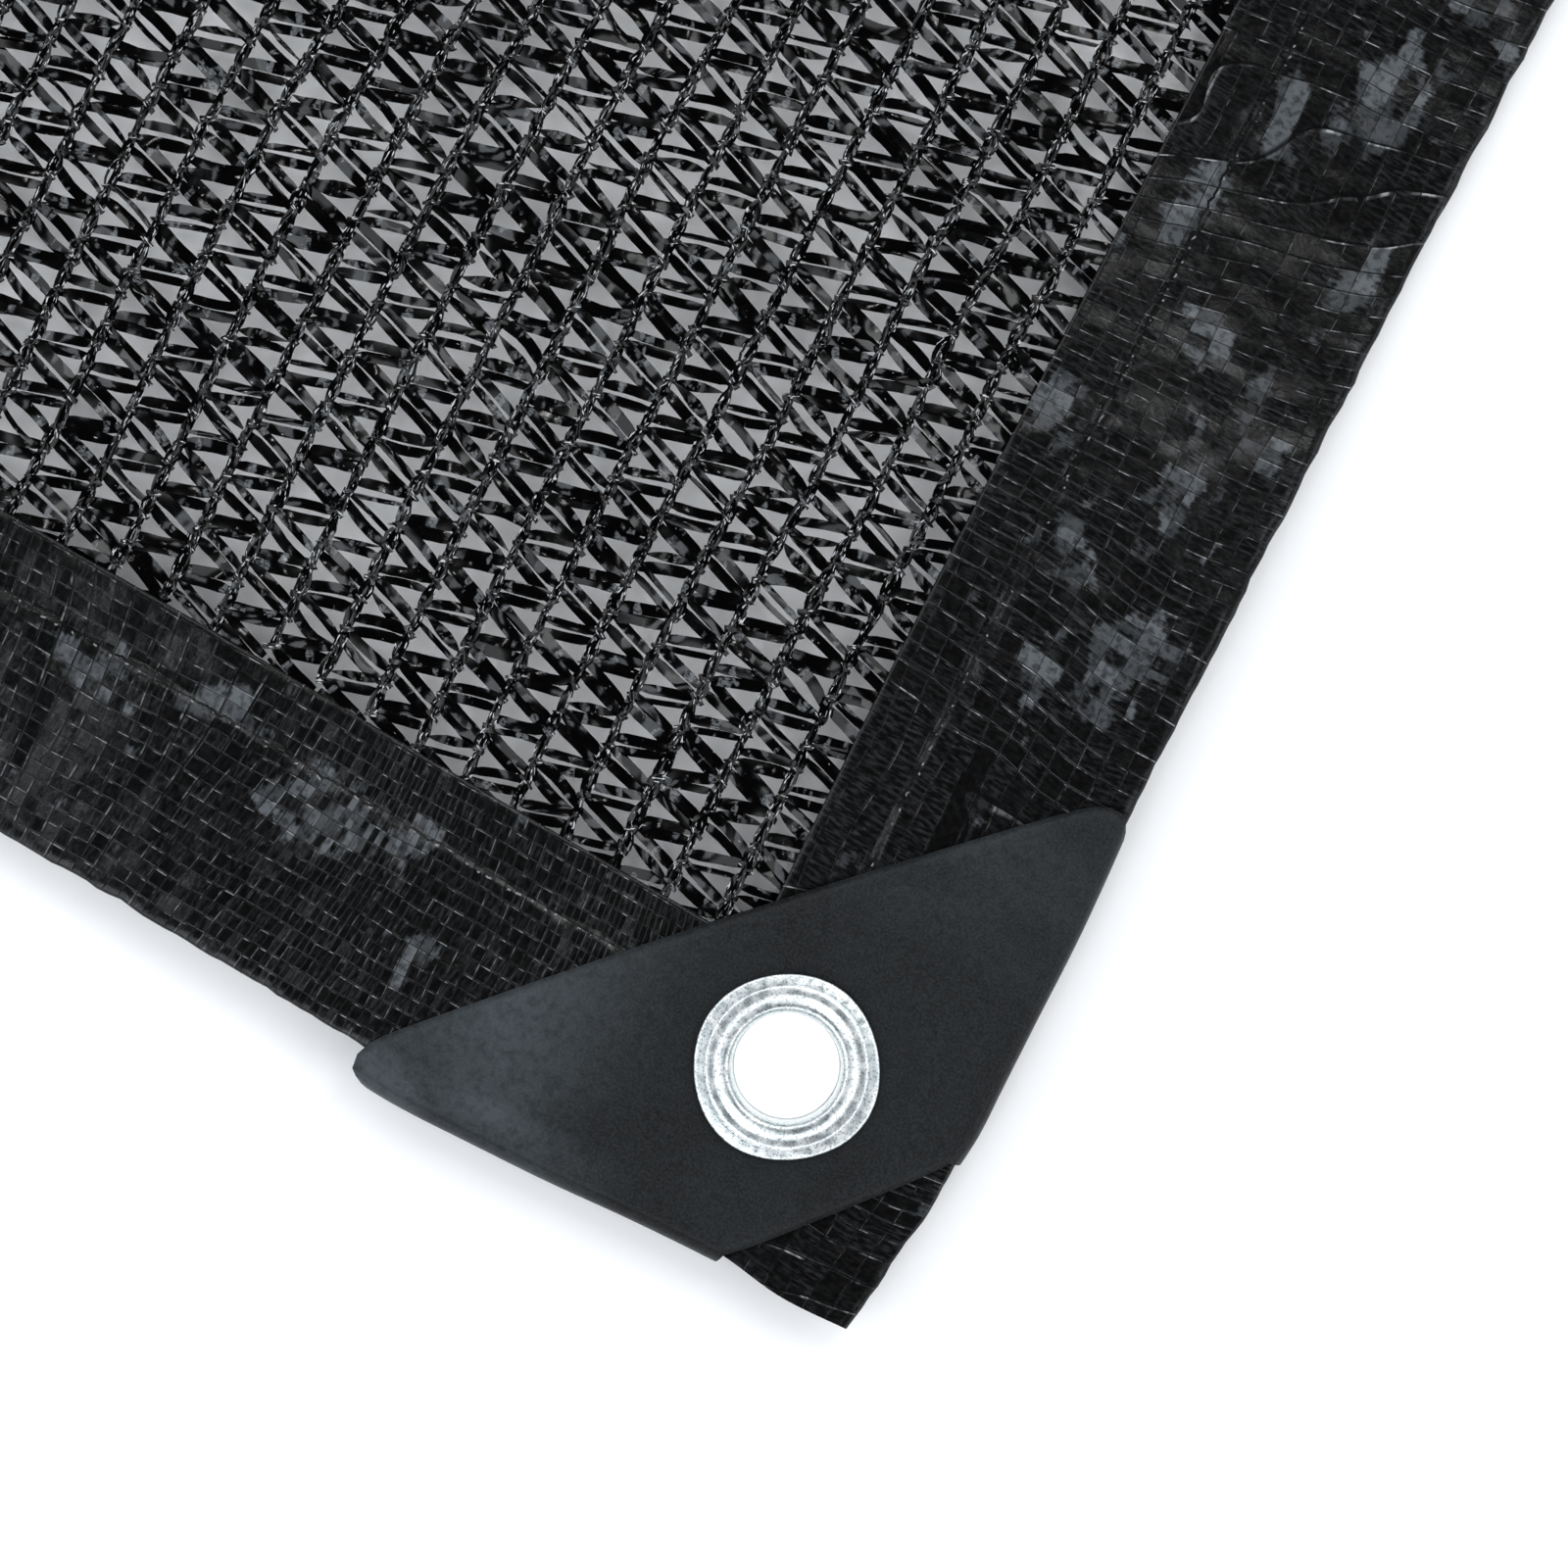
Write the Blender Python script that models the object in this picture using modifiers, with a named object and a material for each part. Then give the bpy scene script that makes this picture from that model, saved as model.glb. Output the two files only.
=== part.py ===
"""A small shade cloth panel, lying on a flat surface.

A knitted net is bound on its four edges with a woven tape folded over it. Each corner
carries a vinyl strip folded round both faces, and a metal eyelet with its washer.
X runs across the knitted wales and Y along them. The origin is at the middle of the
underside, on the surface that the panel lies on.
"""

import math

import bmesh
import bpy
from mathutils import Vector

MM = 0.001

# The panel before its edges draw in.
HALF_WIDTH = 210 * MM
HALF_LENGTH = 250 * MM

# Every sheet has one thickness, and pieces that lie on each other keep one gap.
SHEET = 1.0 * MM
GAP = 0.3 * MM

HEM_WIDTH = 30 * MM
NET_INSET = 6 * MM
NET_CORNER_CUT = 56 * MM

# How far each layer's middle lies from the net's middle.
HEM_LEAF = SHEET + GAP
PATCH_LEAF = HEM_LEAF + SHEET + GAP

# The eyelet, from its centre outwards.
HOLE_RADIUS = 5.75 * MM
BARREL_RADIUS = 6.25 * MM
LAYER_HOLE_RADIUS = 6.6 * MM
FLANGE_RADIUS = 10.0 * MM
FLANGE_THICKNESS = 0.6 * MM
FLANGE_BEVEL = 0.2 * MM
RIDGE_FOOT_RADIUS = 8.5 * MM
RIDGE_INNER_RADIUS = 6.5 * MM
RIDGE_OUTER_RADIUS = 7.6 * MM
RIDGE_HEIGHT = 0.7 * MM
CLINCH_RADIUS = 7.8 * MM
CLINCH_FACE_INNER_RADIUS = 6.2 * MM
CLINCH_FACE_OUTER_RADIUS = 7.5 * MM
CLINCH_HEIGHT = 0.5 * MM
WASHER_THICKNESS = 0.6 * MM
EYELET_STEPS = 20

# Heights of the net's middle above the surface: on it, in a hem, and at an eyelet.
NET_REST = SHEET / 2
HEM_REST = HEM_LEAF + SHEET / 2
CORNER_REST = CLINCH_HEIGHT + WASHER_THICKNESS + 2 * GAP + PATCH_LEAF + SHEET / 2

# Where the eyelet stands, in from the two edges that meet at its corner.
EYELET_FROM_SIDE = 19.3 * MM
EYELET_FROM_END = 21.4 * MM

# The corner is flat round its eyelet, and comes down to the hem's height further out.
CORNER_FLAT_RADIUS = 58 * MM
CORNER_LIFT_RADIUS = 118 * MM
# The net comes down from the hem over this much.
HEM_SLOPE_START = 33 * MM
HEM_SLOPE_END = 62 * MM

# How far an edge stands out of a straight line, by the distance from its corner.
# Columns: distance from the corner, offset outwards, both in mm.
SIDE_OUTLINE_MM = (
    (0, 0.0),
    (10, 1.0),
    (20, 1.7),
    (36, 1.0),
    (66, -0.3),
    (110, -1.5),
    (161, -2.7),
    (250, -3.2),
)
END_OUTLINE_MM = (
    (0, 0.0),
    (8, 0.4),
    (16, -0.5),
    (36, -1.0),
    (62, -1.5),
    (105, -2.6),
    (210, -3.4),
)

# The patch's two folds, from the corner: in from the side edge, and in from the end edge, in mm.
PATCH_SIDE_FOLD_MM = ((-3.2, 21.0), (-1.6, 64.5))
PATCH_END_FOLD_MM = ((15.5, -2.2), (60.0, -3.1))

# Soft folds that lift the cloth off the surface, each a smooth bell on an ellipse.
# Columns: middle x, middle y, turn from Y in degrees, half length, half width, height, in mm.
FOLDS_MM = (
    (128, -140, 0, 150, 42, 4.6),
    (54, -120, 3, 130, 36, 5.0),
    (-46, -96, -2, 105, 30, 3.4),
    (-122, -110, 2, 120, 38, 5.0),
    (104, 96, -3, 110, 42, 4.0),
    (30, 150, 0, 80, 30, 3.0),
    (-62, 120, 3, 105, 38, 4.8),
    (-140, 92, 0, 100, 34, 3.4),
    (82, -232, 90, 62, 46, 2.2),
    (192, 20, 0, 100, 44, 2.6),
    (-70, 232, 90, 60, 44, 2.0),
    (-192, -70, 0, 90, 44, 2.4),
)

# Grid lines, by the distance in from an edge, and the least room beside an end tape's last one.
HEM_LINES_MM = (6, 15, 30)
FIELD_LINE_MM = 18
LEAST_ROW = 2 * MM

CORNERS = {
    "lower_right": (1, -1),
    "lower_left": (-1, -1),
    "upper_right": (1, 1),
    "upper_left": (-1, 1),
}


def smooth(share):
    """Rises from 0 to 1 with level ends."""
    share = max(0.0, min(1.0, share))
    return share * share * (3 - 2 * share)


def bell(share):
    """1 in the middle and 0 from 1 outwards, with level ends."""
    return math.cos(math.pi / 2 * min(1.0, abs(share))) ** 2


def read_table(rows, at):
    """A smooth curve through the rows of a table, read at a distance in metres."""
    at = max(rows[0][0], min(rows[-1][0], at / MM))
    last = len(rows) - 1
    k = max(i for i in range(last) if rows[i][0] <= at)

    def slope(i):
        low, high = rows[max(0, i - 1)], rows[min(last, i + 1)]
        return (high[1] - low[1]) / (high[0] - low[0])

    (x0, y0), (x1, y1) = rows[k], rows[k + 1]
    span = x1 - x0
    t = (at - x0) / span
    start, end = slope(k) * span, slope(k + 1) * span
    curve = (2 * t**3 - 3 * t**2 + 1) * y0 + (3 * t**2 - 2 * t**3) * y1
    curve += (t**3 - 2 * t**2 + t) * start + (t**3 - t**2) * end
    return curve * MM


def height(a, b):
    """Height of the net's middle above the surface, at a point of the flat cloth."""
    from_edge = min(HALF_WIDTH - abs(a), HALF_LENGTH - abs(b))
    slope = (HEM_SLOPE_END - from_edge) / (HEM_SLOPE_END - HEM_SLOPE_START)
    hem = smooth(slope)
    eyelet_a = HALF_WIDTH - EYELET_FROM_SIDE
    eyelet_b = HALF_LENGTH - EYELET_FROM_END
    from_eyelet = math.hypot(abs(a) - eyelet_a, abs(b) - eyelet_b)
    drop = (from_eyelet - CORNER_FLAT_RADIUS) / (CORNER_LIFT_RADIUS - CORNER_FLAT_RADIUS)
    corner = 1 - smooth(drop)
    level = NET_REST + (HEM_REST - NET_REST) * hem
    level += (CORNER_REST - level) * corner
    for x, y, turn, half_length, half_width, rise in FOLDS_MM:
        angle = math.radians(turn)
        da, db = a / MM - x, b / MM - y
        along = (-da * math.sin(angle) + db * math.cos(angle)) / half_length
        across = (da * math.cos(angle) + db * math.sin(angle)) / half_width
        level += rise * MM * bell(math.hypot(along, across)) * (1 - corner)
    return level


def drawn_in(a, b):
    """Where a point of the flat cloth lies in plan, once its edges have drawn in or out."""
    side = smooth(abs(a) / HALF_WIDTH / 0.8)
    end = smooth(abs(b) / HALF_LENGTH / 0.8)
    out_a = read_table(SIDE_OUTLINE_MM, HALF_LENGTH - abs(b)) * side
    out_b = read_table(END_OUTLINE_MM, HALF_WIDTH - abs(a)) * end
    return a + math.copysign(1, a) * out_a, b + math.copysign(1, b) * out_b


def lines(half_size, inset):
    """Grid lines across the cloth: those of the hems, and even ones between them."""
    outer = [half_size - d * MM for d in HEM_LINES_MM if d * MM >= inset]
    inner = outer[-1]
    count = 2 * round(inner / (FIELD_LINE_MM * MM))
    field = [-inner + 2 * inner * i / count for i in range(1, count)]
    return sorted(-v for v in outer) + field + sorted(outer)


def put(name, mesh, colour, roughness, metallic, collection):
    """Makes an object of a mesh, with its own material."""
    obj = bpy.data.objects.new(name, mesh)
    collection.objects.link(obj)
    material = bpy.data.materials.new(name + "_material")
    material.use_nodes = True
    shader = material.node_tree.nodes["Principled BSDF"]
    shader.inputs["Base Color"].default_value = (*colour, 1)
    shader.inputs["Roughness"].default_value = roughness
    shader.inputs["Metallic"].default_value = metallic
    mesh.materials.append(material)
    return obj


def shaped_grid(columns, rows, place, closed=False):
    """A grid whose point for each column and row is moved to where place says.

    A closed grid's last column lies on its first, and the two are joined.
    """
    bm = bmesh.new()
    across, along = len(columns) - 1, len(rows) - 1
    bmesh.ops.create_grid(bm, x_segments=across, y_segments=along, size=0.5)
    for vertex in bm.verts:
        column = columns[round((vertex.co.x + 0.5) * across)]
        row = rows[round((vertex.co.y + 0.5) * along)]
        vertex.co = place(column, row)
    if closed:
        bmesh.ops.remove_doubles(bm, verts=bm.verts, dist=0.01 * MM)
    return bm


def to_mesh(name, bm):
    """A named mesh of the bmesh, which it frees, shaded smooth but for its sharp edges."""
    mesh = bpy.data.meshes.new(name)
    bm.to_mesh(mesh)
    bm.free()
    mesh.shade_smooth()
    mesh.set_sharp_from_angle(angle=math.radians(40))
    return mesh


def thicken(obj):
    """Gives an open surface the thickness of a sheet, half on each side."""
    solidify = obj.modifiers.new("thickness", "SOLIDIFY")
    solidify.thickness = SHEET
    solidify.offset = 0


def pierce(obj, cutters):
    """Cuts the eyelets' holes."""
    for cutter in cutters:
        cut = obj.modifiers.new("eyelet_hole", "BOOLEAN")
        cut.operation = "DIFFERENCE"
        cut.object = cutter


def eyelet_centre(signs):
    """The plan position of a corner's eyelet."""
    x = signs[0] * (HALF_WIDTH - EYELET_FROM_SIDE)
    y = signs[1] * (HALF_LENGTH - EYELET_FROM_END)
    return x, y


def make_cutter(name, signs, collection):
    """A round cutter through every layer at one corner."""
    bm = bmesh.new()
    bmesh.ops.create_cone(
        bm,
        cap_ends=True,
        segments=EYELET_STEPS,
        radius1=LAYER_HOLE_RADIUS,
        radius2=LAYER_HOLE_RADIUS,
        depth=4 * CORNER_REST,
    )
    mesh = bpy.data.meshes.new(name)
    bm.to_mesh(mesh)
    bm.free()
    cutter = bpy.data.objects.new(name, mesh)
    cutter.location = (*eyelet_centre(signs), CORNER_REST)
    cutter.hide_render = True
    cutter.display_type = "WIRE"
    collection.objects.link(cutter)
    return cutter


def make_net(collection):
    """The knitted net as one sheet, its corners cut off under the patches."""

    def place(a, b):
        return Vector((*drawn_in(a, b), height(a, b)))

    columns = lines(HALF_WIDTH, NET_INSET)
    rows = lines(HALF_LENGTH, NET_INSET)
    bm = shaped_grid(columns, rows, place)
    for sx, sy in CORNERS.values():
        on_cut = (sx * (HALF_WIDTH - NET_CORNER_CUT), sy * HALF_LENGTH, 0)
        bmesh.ops.bisect_plane(
            bm,
            geom=[*bm.verts, *bm.edges, *bm.faces],
            dist=0.01 * MM,
            plane_co=on_cut,
            plane_no=(sx, sy, 0),
            clear_outer=True,
        )
    net = put("net_panel", to_mesh("net_panel", bm), (0.02, 0.02, 0.021), 0.4, 0, collection)
    thicken(net)


def hem_section():
    """The folded tape's middle line: distance in from the edge, and height from the net."""
    centre = HEM_LEAF + SHEET / 2
    leaf = [HEM_WIDTH, HEM_WIDTH / 2]
    points = [(d, -HEM_LEAF) for d in leaf]
    for angle in (-90, -30, 30, 90):
        turn = math.radians(angle)
        points.append((centre - HEM_LEAF * math.cos(turn), HEM_LEAF * math.sin(turn)))
    return points + [(d, HEM_LEAF) for d in reversed(leaf)]


def make_side_hem(name, sign, cutters, collection):
    """A tape folded over a side of the net, from end to end of the panel."""
    section = hem_section()
    rows = [-HALF_LENGTH, *lines(HALF_LENGTH, NET_INSET), HALF_LENGTH]

    def place(column, b):
        inwards, rise = section[column]
        a = sign * (HALF_WIDTH - inwards)
        return Vector((*drawn_in(a, b), height(a, b) + rise))

    bm = shaped_grid(range(len(section)), rows, place)
    hem = put(name, to_mesh(name, bm), (0.022, 0.023, 0.025), 0.35, 0, collection)
    thicken(hem)
    pierce(hem, cutters)


def make_end_hem(name, sign, collection):
    """A tape folded over an end of the net, between the two side tapes."""
    section = hem_section()
    reach = HALF_WIDTH - HEM_WIDTH - GAP
    inner = [v for v in lines(HALF_WIDTH, NET_INSET) if abs(v) < reach - LEAST_ROW]
    rows = [-reach, *inner, reach]

    def place(column, a):
        inwards, rise = section[column]
        b = sign * (HALF_LENGTH - inwards)
        return Vector((*drawn_in(a, b), height(a, b) + rise))

    bm = shaped_grid(range(len(section)), rows, place)
    hem = put(name, to_mesh(name, bm), (0.022, 0.023, 0.025), 0.35, 0, collection)
    thicken(hem)


def make_patch(corner, signs, cutter, collection):
    """A vinyl strip across a corner, folded round both edges and joined at the back."""
    wall = PATCH_LEAF + SHEET / 2

    def inner_line(fold, outwards):
        """The centre line of a fold, a wall's reach inside the fold's outer face."""
        return [Vector(point) - outwards * wall / MM for point in fold]

    def outward(fold, towards):
        direction = Vector(fold[1]) - Vector(fold[0])
        normal = Vector((-direction.y, direction.x)).normalized()
        return normal if normal.dot(towards) > 0 else -normal

    side_out = outward(PATCH_SIDE_FOLD_MM, Vector((-1, 0)))
    end_out = outward(PATCH_END_FOLD_MM, Vector((0, -1)))
    side = inner_line(PATCH_SIDE_FOLD_MM, side_out)
    end = inner_line(PATCH_END_FOLD_MM, end_out)

    # Once round the strip: share across from the end fold to the side fold, and the turn.
    flat_steps = [0, 0.25, 0.5, 0.75, 1]
    bends = [45, 0, -45]
    around = [("flat", share, 90) for share in flat_steps]
    around += [("side", 1, angle) for angle in bends]
    around += [("flat", share, -90) for share in reversed(flat_steps)]
    around += [("end", 0, -angle) for angle in bends]
    around.append(around[0])

    def place(column, row):
        kind, share, angle = column
        turn = math.radians(angle)
        at_side = side[0].lerp(side[1], row)
        at_end = end[0].lerp(end[1], row)
        point = at_end.lerp(at_side, share)
        if kind != "flat":
            outwards = side_out if kind == "side" else end_out
            point = point + outwards * (PATCH_LEAF / MM * math.cos(turn))
        x = signs[0] * (HALF_WIDTH - point.x * MM)
        y = signs[1] * (HALF_LENGTH - point.y * MM)
        return Vector((x, y, CORNER_REST + PATCH_LEAF * math.sin(turn)))

    rows = [0, 0.25, 0.5, 0.75, 1]
    bm = shaped_grid(around, rows, place, closed=True)
    name = "corner_patch_" + corner
    patch = put(name, to_mesh(name, bm), (0.03, 0.031, 0.032), 0.6, 0, collection)
    thicken(patch)
    pierce(patch, [cutter])


def turned(name, profile, signs, collection):
    """A ring turned from a closed profile of radii and heights, standing at a corner."""
    bm = bmesh.new()
    points = [bm.verts.new((radius, 0, z)) for radius, z in profile]
    for one, other in zip(points, points[1:] + points[:1]):
        bm.edges.new((one, other))
    mesh = bpy.data.meshes.new(name)
    bm.to_mesh(mesh)
    bm.free()
    ring = put(name, mesh, (0.62, 0.65, 0.66), 0.35, 1, collection)
    ring.location = (*eyelet_centre(signs), 0)
    screw = ring.modifiers.new("turn", "SCREW")
    screw.angle = 2 * math.pi
    screw.steps = EYELET_STEPS
    screw.render_steps = EYELET_STEPS
    screw.use_merge_vertices = True
    screw.merge_threshold = 0.00005
    screw.use_smooth_shade = True


def make_eyelet(corner, signs, collection):
    """A metal eyelet: a ridged flange on top, a barrel, and its clinched end below."""
    under = CORNER_REST + PATCH_LEAF + SHEET / 2 + GAP
    face = under + FLANGE_THICKNESS
    crown = face + RIDGE_HEIGHT
    profile = [
        (FLANGE_RADIUS, face - FLANGE_BEVEL),
        (FLANGE_RADIUS, under),
        (BARREL_RADIUS, under),
        (BARREL_RADIUS, CLINCH_HEIGHT),
        (CLINCH_RADIUS, CLINCH_HEIGHT),
        (CLINCH_FACE_OUTER_RADIUS, 0),
        (CLINCH_FACE_INNER_RADIUS, 0),
        (HOLE_RADIUS, CLINCH_HEIGHT),
        (HOLE_RADIUS, face),
        (RIDGE_INNER_RADIUS, crown),
        (RIDGE_OUTER_RADIUS, crown),
        (RIDGE_FOOT_RADIUS, face),
        (FLANGE_RADIUS - FLANGE_BEVEL, face),
    ]
    turned("eyelet_" + corner, profile, signs, collection)
    low = CLINCH_HEIGHT + GAP
    ring = [
        (FLANGE_RADIUS, low + WASHER_THICKNESS),
        (FLANGE_RADIUS, low),
        (LAYER_HOLE_RADIUS, low),
        (LAYER_HOLE_RADIUS, low + WASHER_THICKNESS),
    ]
    turned("washer_" + corner, ring, signs, collection)


def main():
    for obj in list(bpy.data.objects):
        bpy.data.objects.remove(obj)
    parts = bpy.data.collections.new("shade_cloth")
    helpers = bpy.data.collections.new("cutters")
    for collection in (parts, helpers):
        bpy.context.scene.collection.children.link(collection)
    cutters = {}
    for corner, signs in CORNERS.items():
        cutters[corner] = make_cutter("cutter_" + corner, signs, helpers)
    make_net(parts)
    right = [cutters["lower_right"], cutters["upper_right"]]
    left = [cutters["lower_left"], cutters["upper_left"]]
    make_side_hem("binding_right", 1, right, parts)
    make_side_hem("binding_left", -1, left, parts)
    make_end_hem("binding_lower", -1, parts)
    make_end_hem("binding_upper", 1, parts)
    for corner, signs in CORNERS.items():
        make_patch(corner, signs, cutters[corner], parts)
        make_eyelet(corner, signs, parts)


main()
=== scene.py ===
"""Looks of the shade cloth panel: the knitted net, its bindings, corner patches and eyelets.

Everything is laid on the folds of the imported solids. Flat cloth coordinates are a, across the
wales, and b, along them. Sizes are in metres unless a name ends in _MM or _DEG.
"""

import math

import bpy
import numpy as np
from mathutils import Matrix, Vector


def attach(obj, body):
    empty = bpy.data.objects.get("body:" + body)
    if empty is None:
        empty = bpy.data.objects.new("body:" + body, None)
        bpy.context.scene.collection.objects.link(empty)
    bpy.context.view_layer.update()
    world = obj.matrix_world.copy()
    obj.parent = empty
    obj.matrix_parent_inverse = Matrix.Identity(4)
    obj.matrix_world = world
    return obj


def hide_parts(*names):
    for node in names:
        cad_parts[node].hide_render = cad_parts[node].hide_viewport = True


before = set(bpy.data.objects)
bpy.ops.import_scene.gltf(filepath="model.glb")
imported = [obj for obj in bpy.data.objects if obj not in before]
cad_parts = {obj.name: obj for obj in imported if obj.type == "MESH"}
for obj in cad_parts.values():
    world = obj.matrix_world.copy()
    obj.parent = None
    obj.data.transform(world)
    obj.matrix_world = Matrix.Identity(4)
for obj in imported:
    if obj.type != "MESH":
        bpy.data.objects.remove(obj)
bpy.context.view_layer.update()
MM = 0.001

# The panel's form, as its solids have it.
HALF_WIDTH = 210 * MM
HALF_LENGTH = 250 * MM
NET_REST = 0.5 * MM
HEM_REST = 1.8 * MM
CORNER_REST = 4.8 * MM
HEM_WIDTH = 30 * MM
EYELET_FROM_SIDE = 19.3 * MM
EYELET_FROM_END = 21.4 * MM
CORNER_FLAT_RADIUS = 58 * MM
CORNER_LIFT_RADIUS = 118 * MM
BOND_LINE = 22.6 * MM
HEM_SLOPE_START = 33 * MM
HEM_SLOPE_END = 62 * MM

# Columns: distance from the corner, offset of the edge outwards, both in mm.
SIDE_OUTLINE_MM = (
    (0, 0.0),
    (10, 1.0),
    (20, 1.7),
    (36, 1.0),
    (66, -0.3),
    (110, -1.5),
    (161, -2.7),
    (250, -3.2),
)
END_OUTLINE_MM = (
    (0, 0.0),
    (8, 0.4),
    (16, -0.5),
    (36, -1.0),
    (62, -1.5),
    (105, -2.6),
    (210, -3.4),
)

# Columns: middle x, middle y, turn from Y in degrees, half length, half width, height, in mm.
FOLDS_MM = (
    (128, -140, 0, 150, 42, 4.6),
    (54, -120, 3, 130, 36, 5.0),
    (-46, -96, -2, 105, 30, 3.4),
    (-122, -110, 2, 120, 38, 5.0),
    (104, 96, -3, 110, 42, 4.0),
    (30, 150, 0, 80, 30, 3.0),
    (-62, 120, 3, 105, 38, 4.8),
    (-140, 92, 0, 100, 34, 3.4),
    (82, -232, 90, 62, 46, 2.2),
    (192, 20, 0, 100, 44, 2.6),
    (-70, 232, 90, 60, 44, 2.0),
    (-192, -70, 0, 90, 44, 2.4),
)

CORNERS = {
    "lower_right": (1, -1),
    "lower_left": (-1, -1),
    "upper_right": (1, 1),
    "upper_left": (-1, 1),
}

# The knit: wales, courses, and the pairs of tapes that cross from wale to wale.
WALE_PITCH = 6.3 * MM
COURSE_PITCH = 6.04 * MM
COURSE_SKEW = -0.52 * MM
PAIR_FROM_NODE = 0.6 * MM
PAIR_RISE = 1.81 * MM
TAPE_FROM_PAIR = 0.66 * MM
TAPE_WIDTH = 1.2 * MM
TAPE_SEGMENTS = 5
LEG_SEGMENTS = 4
WRAP_SEGMENTS = 3
CORE_SEGMENTS = 3
LOOSE_SHARE = 0.13
LOOSE_WALE = 41
NET_UNDER_HEM = 4 * MM
NET_STRIPS = 6

# On a chain's film the UVs along it are larger than this, and on a tape's smaller.
CHAIN_START = 2000

# The camera stands over the lower right corner, turned as the photograph is.
VIEW_CENTRE = Vector((175.8 * MM, -202.3 * MM, 3 * MM))
VIEW_WIDTH = 168 * MM
VIEW_TURN_DEG = 29.0
CAMERA_HEIGHT = 1.0
LIGHT_DISTANCE = 1.5


def smooth(share):
    """Rises from 0 to 1 with level ends."""
    share = np.clip(share, 0.0, 1.0)
    return share * share * (3 - 2 * share)


def bell(share):
    """1 in the middle and 0 from 1 outwards, with level ends."""
    return np.cos(np.pi / 2 * np.minimum(1.0, np.abs(share))) ** 2


def read_table(rows, at):
    """A smooth curve through the rows of a table, read at distances in metres."""
    x = np.array([row[0] for row in rows], float)
    y = np.array([row[1] for row in rows], float)
    slope = np.empty(len(x))
    slope[1:-1] = (y[2:] - y[:-2]) / (x[2:] - x[:-2])
    slope[0] = (y[1] - y[0]) / (x[1] - x[0])
    slope[-1] = (y[-1] - y[-2]) / (x[-1] - x[-2])
    at = np.clip(np.asarray(at) / MM, x[0], x[-1])
    k = np.clip(np.searchsorted(x, at, side="right") - 1, 0, len(x) - 2)
    span = x[k + 1] - x[k]
    t = (at - x[k]) / span
    curve = (2 * t**3 - 3 * t**2 + 1) * y[k] + (3 * t**2 - 2 * t**3) * y[k + 1]
    curve += (t**3 - 2 * t**2 + t) * slope[k] * span + (t**3 - t**2) * slope[k + 1] * span
    return curve * MM


def height(a, b):
    """Height of the net's middle above the surface, at points of the flat cloth."""
    from_edge = np.minimum(HALF_WIDTH - np.abs(a), HALF_LENGTH - np.abs(b))
    hem = smooth((HEM_SLOPE_END - from_edge) / (HEM_SLOPE_END - HEM_SLOPE_START))
    eyelet_a = HALF_WIDTH - EYELET_FROM_SIDE
    eyelet_b = HALF_LENGTH - EYELET_FROM_END
    from_eyelet = np.hypot(np.abs(a) - eyelet_a, np.abs(b) - eyelet_b)
    drop = (from_eyelet - CORNER_FLAT_RADIUS) / (CORNER_LIFT_RADIUS - CORNER_FLAT_RADIUS)
    corner = 1 - smooth(drop)
    level = NET_REST + (HEM_REST - NET_REST) * hem
    level = level + (CORNER_REST - level) * corner
    for x, y, turn, half_length, half_width, rise in FOLDS_MM:
        angle = math.radians(turn)
        da, db = a / MM - x, b / MM - y
        along = (-da * math.sin(angle) + db * math.cos(angle)) / half_length
        across = (da * math.cos(angle) + db * math.sin(angle)) / half_width
        level = level + rise * MM * bell(np.hypot(along, across)) * (1 - corner)
    return level


def drawn_in(a, b):
    """Where points of the flat cloth lie in plan, once its edges have drawn in or out."""
    side = smooth(np.abs(a) / HALF_WIDTH / 0.8)
    end = smooth(np.abs(b) / HALF_LENGTH / 0.8)
    out_a = read_table(SIDE_OUTLINE_MM, HALF_LENGTH - np.abs(b)) * side
    out_b = read_table(END_OUTLINE_MM, HALF_WIDTH - np.abs(a)) * end
    return a + np.sign(a) * out_a, b + np.sign(b) * out_b


def laid(a, b, rise):
    """Points in space of the flat cloth's points, each raised from the net's middle."""
    x, y = drawn_in(a, b)
    z = np.maximum(height(a, b) + rise, 0.05 * MM)
    return np.stack([x, y, z], axis=-1)


def soft_noise(x, y, cell, seed):
    """Smooth random values from -1 to 1 over a plane, on a lattice of one cell."""
    size = 61
    table = np.random.default_rng(seed).uniform(-1, 1, (size, size))
    i, j = np.floor(x / cell).astype(int), np.floor(y / cell).astype(int)
    s, t = smooth(x / cell - i), smooth(y / cell - j)

    def at(di, dj):
        return table[(i + di) % size, (j + dj) % size]

    low = at(0, 0) * (1 - s) + at(1, 0) * s
    high = at(0, 1) * (1 - s) + at(1, 1) * s
    return low * (1 - t) + high * t


def make_object(name, points, faces, uvs, material, body="root"):
    """A mesh object riding on the body. uvs has a pair of values for each point."""
    mesh = bpy.data.meshes.new(name)
    mesh.from_pydata(points.reshape(-1, 3), [], faces.tolist())
    corners = np.empty(len(mesh.loops), np.int32)
    mesh.loops.foreach_get("vertex_index", corners)
    layer = mesh.uv_layers.new(name="cloth")
    layer.data.foreach_set("uv", uvs.reshape(-1, 2)[corners].astype(np.float32).ravel())
    mesh.shade_smooth()
    mesh.materials.append(material)
    obj = bpy.data.objects.new(name, mesh)
    bpy.context.scene.collection.objects.link(obj)
    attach(obj, body)
    return obj


def grid_faces(rows, columns, start=0):
    """The quads of a grid of points that runs row by row."""
    r, c = np.meshgrid(np.arange(rows - 1), np.arange(columns - 1), indexing="ij")
    first = (start + r * columns + c).ravel()
    return np.stack([first, first + 1, first + columns + 1, first + columns], axis=-1)


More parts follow.
